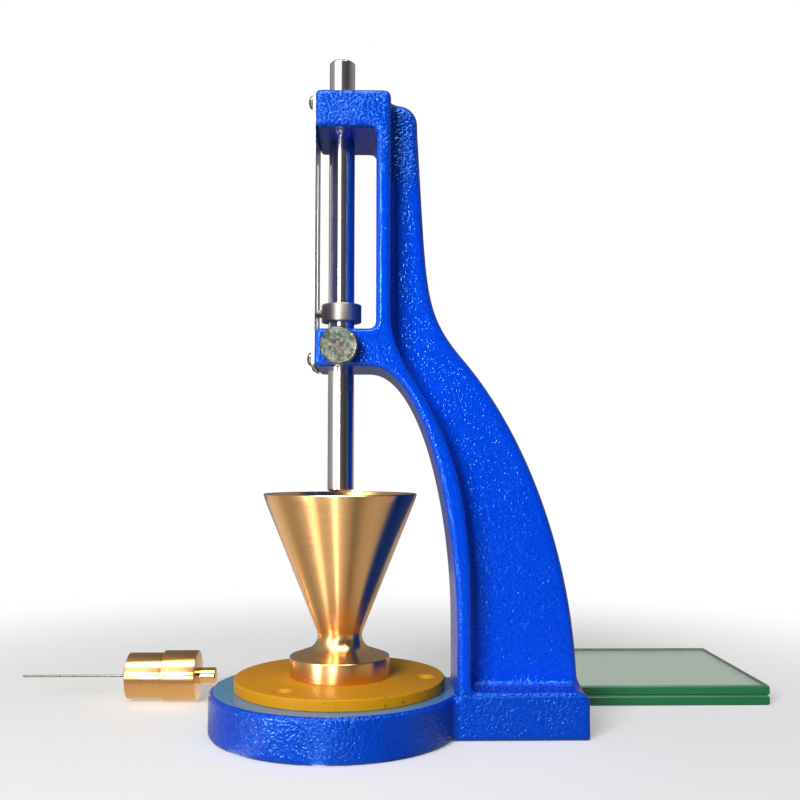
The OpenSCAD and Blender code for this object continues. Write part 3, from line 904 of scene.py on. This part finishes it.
@dataclass
class RodUnit:
    """The guided rod with its stop collar, pointer screw and grub screw."""

    rod_r: float = 6.0
    chamfer: float = 0.8
    socket_r: float = 3.5
    socket_depth: float = 12.0
    socket_sink: float = 0.6
    collar_edge_r: float = 0.5

    def build(self, nodes: dict[str, bpy.types.Object]) -> None:
        """Makes the rod and the collar and dresses their screws.

        Args:
            nodes: The CAD nodes by name.
        """
        low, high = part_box("slide_rod")
        bottom, top, c, r = low.z / MM, high.z / MM, self.chamfer, self.rod_r
        socket, sink = self.socket_r, self.socket_sink
        profile = [
            (0, bottom + self.socket_depth + 2, 0),
            (socket, bottom + self.socket_depth, 0),
            (socket, bottom + sink, 0),
            (socket + sink, bottom, 0.1),
            (r - c, bottom, 0.1),
            (r, bottom + c, 0.2),
            (r, top - c, 0.3),
            (r - c, top, 0.3),
            (0, top, 0),
        ]
        TurnedPiece("rod", "rod", profile, GROUND_STEEL, "chrome_rod", "slide_rod").build()
        low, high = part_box("stop_collar")
        bottom, top, out, bore, e = low.z / MM, high.z / MM, high.x / MM, r + CLEARANCE, self.collar_edge_r
        profile = [(bore, bottom + 1, 0), (bore, bottom, 0.05), (out, bottom, e), (out, top, e)]
        profile += [(bore, top, 0.1), (bore, bottom + 2, 0)]
        TurnedPiece("collar", "rod", profile, DULL_STEEL, "dull_steel", "stop_collar", closed=True).build()
        dress_node(nodes["pointer_screw"], DULL_STEEL)
        dress_node(nodes["collar_grub_screw"], BLACK_STEEL)


@dataclass
class LockScrew:
    """The clamp screw with its round head, and the brass pad at its tip."""

    head_r: float = 8.5
    head_h: float = 6.0
    dish: float = 0.12
    stem_r: float = 3.0
    chamfer: float = 0.8

    def build(self, nodes: dict[str, bpy.types.Object]) -> None:
        """Makes the screw about its own axis, along Y.

        Args:
            nodes: The CAD nodes by name.
        """
        low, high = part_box("lock_screw")
        far, tip = -low.y / MM, -high.y / MM
        near, c, r, stem, dish = far - self.head_h, self.chamfer, self.head_r, self.stem_r, self.dish
        axis = Matrix.Translation((0, 0, (low.z + high.z) / 2)) @ Matrix.Rotation(math.pi / 2, 4, "X")
        profile = [
            (0, tip, 0),
            (stem - 0.5, tip, 0),
            (stem, tip + 0.5, 0),
            (stem, near, 0),
            (r - c, near, 0.2),
            (r, near + c, 0.3),
            (r, far - c, 0.3),
            (r - c, far, 0.2),
            (r - c - 0.3, far - dish, 0.1),
            (0, far - dish, 0),
        ]
        TurnedPiece("clamp_screw", "clamp", profile, ZINC, "zinc_plate", "lock_screw", axis).build()
        dress_node(nodes["lock_pad"], BRASS)


@dataclass
class MouldSet:
    """The golden work plate and the cone mould that stands on it."""

    plate_r: float = 47.5
    plate_hole_r: float = 1.6
    plate_hole_inset: float = 9.0
    plate_sink_r: float = 4.4
    plate_turn: float = -6.0
    mould_h: float = 82.0
    depth: float = 75.0
    mouth_r: float = 30.0
    rim_r: float = 35.0
    lip_h: float = 3.0
    neck_r: float = 8.05
    neck_z: float = 14.1
    blend_r: float = 6.5
    foot_r: float = 22.6
    foot_h: float = 8.9

    def plate(self) -> None:
        """Turns the plate and takes a bore with a 90 degree countersink away at each hole."""
        low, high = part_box("work_plate")
        bottom, top, r, deep = low.z / MM, high.z / MM, self.plate_r, 1.0
        profile = [(0, bottom, 0), (r, bottom, 0.5), (r, top, 0.8), (0, top, 0)]
        piece = TurnedPiece("plate", "plate", profile, GOLD, "golden_enamel", "work_plate", steps=180)
        turned = piece.build()
        bore, sink = self.plate_hole_r, self.plate_sink_r
        below, above = bottom - deep, top + deep
        cone = top - sink + bore
        section = np.array([(0, below), (bore, below), (bore, cone), (sink + deep, above), (0, above)])
        angles = np.radians(self.plate_turn + np.array([0.0, 120.0, 240.0]))
        for angle in angles:
            vertices, quads = revolve(section, 48)
            vertices[:, :2] += (r - self.plate_hole_inset) * MM * np.array([math.cos(angle), math.sin(angle)])
            carve(turned, vertices, quads)
        keep_creases(turned)

    def build(self) -> None:
        """Turns the plate, sinks its holes and turns the mould."""
        self.plate()
        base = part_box("cone_mould")[0].z / MM
        lip = self.mould_h - self.lip_h
        profile = [
            (0, base, 0),
            (self.foot_r, base, 0.4),
            (self.foot_r, base + self.foot_h, 0.5),
            (self.neck_r, base + self.neck_z, self.blend_r),
            (self.rim_r - 0.8, base + lip, 2.0),
            (self.rim_r, base + self.mould_h - 0.4, 0.1),
            (self.rim_r - 0.3, base + self.mould_h, 0.1),
            (self.mouth_r, base + self.mould_h, 0.15),
            (0, base + self.mould_h - self.depth, 0),
        ]
        TurnedPiece("mould", "mould", profile, BRASS, "cast_brass", "cone_mould", steps=240).build()


@dataclass
class NeedleUnit:
    """The needle unit, which lies on the bench along X: stud, weight, holder and needle."""

    stud_r: float = 4.0
    spigot_r: float = 3.0
    spigot_depth: float = 10.1
    weight_r: float = 12.5
    holder_r: float = 11.4
    holder_h: float = 17.7
    needle_r: float = 0.565
    needle_depth: float = 12.1

    def build(self) -> None:
        """Turns the four pieces about the unit's own axis."""
        low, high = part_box("needle_weight")
        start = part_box("needle_stud")[1].x
        axis = (
            Matrix.Translation((start, (low.y + high.y) / 2, (low.z + high.z) / 2))
            @ Matrix.Rotation(-math.pi / 2, 4, "Y")
        )

        def along(node: str) -> tuple[float, float]:
            """Where a node begins and ends on the axis, from the stud's end."""
            a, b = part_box(node)
            return (start - b.x) / MM, (start - a.x) / MM

        a, b = along("needle_stud")
        face = along("needle_weight")[0]
        r, spigot = self.stud_r, self.spigot_r
        profile = [(0, a, 0), (r - 0.5, a, 0.1), (r, a + 0.5, 0.1), (r, face, 0)]
        profile += [(spigot, face, 0), (spigot, b, 0), (0, b, 0)]
        self.turn("stud", profile, BRASS_LYING, "bright_brass", "needle_stud", axis)
        a, b = along("needle_weight")
        deep, bore, r = a + self.spigot_depth, spigot + CLEARANCE, self.weight_r
        profile = [(0, deep, 0), (bore, deep, 0), (bore, a, 0), (r, a, 0.5), (r, b, 0.5), (0, b, 0)]
        self.turn("weight", profile, BRASS_LYING, "bright_brass", "needle_weight", axis)
        a, b = along("needle_holder")
        deep, bore, r, h = b - self.needle_depth, self.needle_r + CLEARANCE, self.holder_r, a + self.holder_h
        profile = [(0, a, 0), (r, a, 0.4), (r, h, 0.4), (bore + 0.6, b, 0.1)]
        profile += [(bore, b, 0), (bore, deep, 0), (0, deep, 0)]
        self.turn("holder", profile, BRASS_LYING, "bright_brass", "needle_holder", axis)
        a, b = along("needle")
        profile = [(0, a, 0), (self.needle_r, a, 0), (self.needle_r, b, 0.05), (0, b, 0)]
        self.turn("needle_pin", profile, NEEDLE_STEEL, "needle_steel", "needle", axis)

    def turn(self, name: str, profile: Profile, finish: Finish, slot: str, node: str, axis: Matrix) -> None:
        """Turns one piece of the unit; see TurnedPiece."""
        TurnedPiece(name, "needle_unit", profile, finish, slot, node, axis).build()


@dataclass
class GlassPlates:
    """The two square glass plates, clear through their faces and green at their ground edges."""

    bevel: float = 0.8
    seat: float = 0.02

    def build(self) -> None:
        """Makes each plate as a stack of four squares, set in by the bevel at the top and the bottom."""
        for name, body in (("glass_plate_lower", "lower_glass"), ("glass_plate_upper", "upper_glass")):
            low, high = (np.array(v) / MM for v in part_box(name))
            low[2] += self.seat
            high[2] -= self.seat
            inset = np.array([self.bevel, 0.0, 0.0, self.bevel])
            level = np.array([low[2], low[2] + self.bevel, high[2] - self.bevel, high[2]])
            x = np.stack([low[0] + inset, high[0] - inset, high[0] - inset, low[0] + inset], 1)
            y = np.stack([low[1] + inset, low[1] + inset, high[1] - inset, high[1] - inset], 1)
            points = np.stack([x, y, level[:, None] + 0 * x], 2).reshape(-1, 3)
            k, j = (g.ravel() for g in np.meshgrid(np.arange(3), np.arange(4), indexing="ij"))
            after = (j + 1) % 4
            sides = np.stack([4 * k + j, 4 * k + after, 4 * k + 4 + after, 4 * k + 4 + j], 1)
            faces = np.vstack([[[3, 2, 1, 0], [12, 13, 14, 15]], sides])
            made = make_piece(name + "_pane", body, points * MM, faces, GLASS, (name,))
            made.data.shade_flat()
            made.data.materials.append(GLASS_EDGE.material())
            edge = np.arange(len(faces)) > 1
            made.data.polygons.foreach_set("material_index", edge.astype(np.int32))


# The studio


@dataclass
class Studio:
    """Pale floor, soft light from the left and the camera.

    Levels are degrees and brightness; see glow_round.
    """

    eye_mm: tuple[float, float, float] = (17.68, -455.13, 119.32)
    yaw: float = 0.021
    pitch: float = -0.065
    roll: float = 0.001
    focal_px: float = 987.66
    picture_px: float = 800.0
    sensor_mm: float = 36.0
    floor_r: float = 0.6
    aim: tuple[float, float, float] = (0.03, 0.0, 0.14)
    reach: float = 1.3
    spark_glow: float = 170.0
    room_levels: Levels = (
        *((-180, 0.15), (-130, 0.35), (-110, 0.4), (-90, 0.4), (-66, 1.0), (-62, 3.0), (-48, 3.0)),
        *((-44, 1.2), (-28, 1.6), (-24, 2.2), (-12, 2.2), (-7, 0.6), (-1, 0.15), (12, 0.1), (45, 0.05)),
        *((70, 0.15), (100, 0.3), (140, 0.35), (180, 0.15)),
    )
    floor_levels: Levels = (
        *((-180, 0.35), (-130, 0.9), (-110, 0.75), (-95, 0.45), (-80, 0.42), (-58, 0.6), (-53, 0.8)),
        *((-50, 2.2), (-39, 2.2), (-36, 0.7), (-14, 0.6), (-10, 1.2), (-8, 5.0), (-5, 5.0), (-3, 1.1)),
        *((12, 0.6), (27, 0.22), (45, 0.5), (63, 0.6), (90, 0.4), (130, 0.55), (180, 0.35)),
    )

    def camera(self) -> None:
        """Sets the camera from its fitted place and angles, with the focal length in pixels."""
        lens = bpy.data.cameras.new("camera")
        lens.sensor_width = self.sensor_mm
        lens.lens = self.focal_px * self.sensor_mm / self.picture_px
        lens.clip_start, lens.clip_end = 0.01, 20.0
        cy, sy, cp, sp = math.cos(self.yaw), math.sin(self.yaw), math.cos(self.pitch), math.sin(self.pitch)
        forward = Vector((sy * cp, cy * cp, -sp))
        right = Vector((cy, -sy, 0))
        up = right.cross(forward)
        cr, sr = math.cos(self.roll), math.sin(self.roll)
        right, up = right * cr + up * sr, up * cr - right * sr
        rows = [[right[k], up[k], -forward[k], self.eye_mm[k] * MM] for k in range(3)]
        seat = put("camera", lens)
        seat.matrix_world = Matrix(rows + [[0, 0, 0, 1]])
        bpy.context.scene.camera = seat

    def lamp(self, name: str, place: Vector, size: tuple[float, float], watts: float, mirrored: bool) -> None:
        """Adds one rectangular lamp, which faces the middle of the object.

        Args:
            name: Its name.
            place: Where it stands, in metres.
            size: Its width and height in metres.
            watts: Its power.
            mirrored: Whether it is there to be mirrored only, or only to light.
        """
        light = bpy.data.lights.new(name, "AREA")
        light.shape = "RECTANGLE"
        light.size, light.size_y = size
        light.energy = watts
        holder = put(name, light)
        turn = (Vector(self.aim) - place).to_track_quat("-Z", "Y").to_matrix().to_4x4()
        holder.matrix_world = Matrix.Translation(place) @ turn
        holder.visible_glossy = mirrored
        holder.visible_diffuse = not mirrored

    def glow_round(self, tree: Tree, place: Socket, levels: Levels) -> bpy.types.Node:
        """Brightness by the side that a direction or a point lies on.

        The side is the angle of (x, -y), 0 towards the viewer and growing to the viewer's right.

        Args:
            tree: The node tree.
            place: A direction, or a point's coordinates.
            levels: Degrees and brightness, in rising order of degrees.

        Returns:
            The node with the brightness.
        """
        parts = add(tree, "SeparateXYZ", (place,))
        front = add(tree, "Math", (parts.outputs["Y"], -1.0), operation="MULTIPLY")
        side = add(tree, "Math", (parts.outputs["X"], front), operation="ARCTAN2")
        ramp = add(tree, "ValToRGB", (add(tree, "MapRange", (side, -math.pi, math.pi)),))
        stops = ramp.color_ramp.elements
        while len(stops) < len(levels):
            stops.new(0.5)
        for stop, (degrees, level) in zip(stops, levels):
            stop.position = degrees / 360 + 0.5
            stop.color = (level, level, level, 1.0)
        return ramp

    def floor(self) -> None:
        """Lays a round pale floor under the object, which turns into the white surround further out."""
        turns, rings = 96, np.linspace(0.0, self.floor_r, 9)[1:, None]
        angles = np.linspace(0, 2 * math.pi, turns, endpoint=False)
        grid = np.stack([rings * np.cos(angles), rings * np.sin(angles), 0 * rings * angles], 2)
        k, j = np.meshgrid(np.arange(len(rings) - 1), np.arange(turns), indexing="ij")
        after = (j + 1) % turns
        quads = np.stack([k * turns + j, (k + 1) * turns + j, (k + 1) * turns + after, k * turns + after], 2)
        mesh = bpy.data.meshes.new("floor")
        mesh.from_pydata(grid.reshape(-1, 3), [], quads.reshape(-1, 4).tolist() + [list(range(turns))])
        mesh.materials.append(self.paper())
        put("floor", mesh)

    def paper(self) -> bpy.types.Material:
        """White paper: matt under the object, and as bright as the surround further out.

        Returns:
            Its material.
        """
        paper = bpy.data.materials.new("white_paper")
        tree = empty_tree(paper)
        place = add(tree, "TexCoord").outputs["Object"]
        rays = add(tree, "LightPath").outputs
        tones = {"Factor": rays["Is Diffuse Ray"], "A": linear("f6f6f5"), "B": linear("8c8a86")}
        matt = add(tree, "BsdfDiffuse", {"Color": add(tree, "Mix", tones, data_type="RGBA")})
        white = add(tree, "Emission", {"Color": linear("ffffff"), "Strength": 1.0})
        out = add(tree, "VectorMath", (place,), operation="LENGTH")
        far = (out, 0.16, self.floor_r - 0.1, 0.3, 1.0)
        away = add(tree, "MapRange", far, interpolation_type="SMOOTHSTEP")
        seen = add(tree, "Math", (away, rays["Is Camera Ray"]), operation="MULTIPLY")
        share = add(tree, "Math", (rays["Is Transmission Ray"], 0.9, seen), operation="MULTIPLY_ADD")
        plain = add(tree, "MixShader", (share, matt, white))
        glow = self.glow_round(tree, place, self.floor_levels)
        mirrored = add(tree, "Emission", {"Color": linear("fff6ea"), "Strength": glow})
        surface = add(tree, "MixShader", (rays["Is Glossy Ray"], plain, mirrored))
        add(tree, "OutputMaterial", {"Surface": surface})
        return paper

    def world(self) -> None:
        """A white surround that metals see as a room: window side bright, the other side dim."""
        world = bpy.data.worlds.new("studio")
        bpy.context.scene.world = world
        tree = empty_tree(world)
        towards = add(tree, "TexCoord").outputs["Generated"]
        rays = add(tree, "LightPath").outputs
        parts = add(tree, "SeparateXYZ", (towards,)).outputs
        fill = add(tree, "MapRange", (parts["X"], -0.6, 0.6, 0.15, 0.06))
        above = add(tree, "MapRange", (parts["Z"], -0.3, -0.15, 0.1, 1.0))
        glow = self.glow_round(tree, towards, self.room_levels)
        room = add(tree, "Math", (glow, above), operation="MULTIPLY")
        level = add(tree, "Mix", {"Factor": rays["Is Glossy Ray"], "A": fill, "B": room}, data_type="FLOAT")
        either = (rays["Is Camera Ray"], rays["Is Transmission Ray"])
        seen = add(tree, "Math", either, operation="MAXIMUM")
        strength = add(tree, "Mix", {"Factor": seen, "A": level, "B": 1.0}, data_type="FLOAT")
        sky = add(tree, "Background", {"Color": linear("ffffff"), "Strength": strength})
        add(tree, "OutputWorld", {"Surface": sky})

    def build(self) -> None:
        """Makes camera, world, floor and lamps; sparks are named with their side, rise and size."""
        self.camera()
        self.world()
        self.floor()
        aim = Vector(self.aim)
        window = aim + self.reach * Vector((-0.42, -0.84, 0.35))
        self.lamp("window_light", window, (0.6, 0.5), 19.5, False)
        sparks = (("left_spark", -50, -2, 0.24), ("front_spark", -15, -2, 0.14), ("high_spark", -20, 15, 0.2))
        for name, side, rise, size in sparks:
            turn, lift = math.radians(side), math.radians(rise)
            way = Vector((math.sin(turn) * math.cos(lift), -math.cos(turn) * math.cos(lift), math.sin(lift)))
            self.lamp(name, aim + self.reach * way, (size, size), self.spark_glow * size**2, True)
        self.lamp("ceiling_light", Vector((0.1, -0.2, 1.4)), (1.2, 1.2), 4.5, False)
        self.lamp("ceiling_strip", Vector((0.0, -0.5, 1.2)), (1.2, 0.5), 19.0, True)


def main() -> None:
    """Builds every sub-assembly in order, then the studio."""
    logging.basicConfig(level=logging.INFO, format="%(message)s")
    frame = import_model()
    nodes = frame["nodes"]
    bpy.context.scene.view_settings.view_transform = "Standard"
    Stand().build()
    for name in ("upper_guide_bush", "lower_guide_bush"):
        dress_node(nodes[name], BRONZE)
    Scale().build(nodes)
    RodUnit().build(nodes)
    LockScrew().build(nodes)
    MouldSet().build()
    NeedleUnit().build()
    GlassPlates().build()
    Studio().build()


if __name__ == "__main__":
    main()
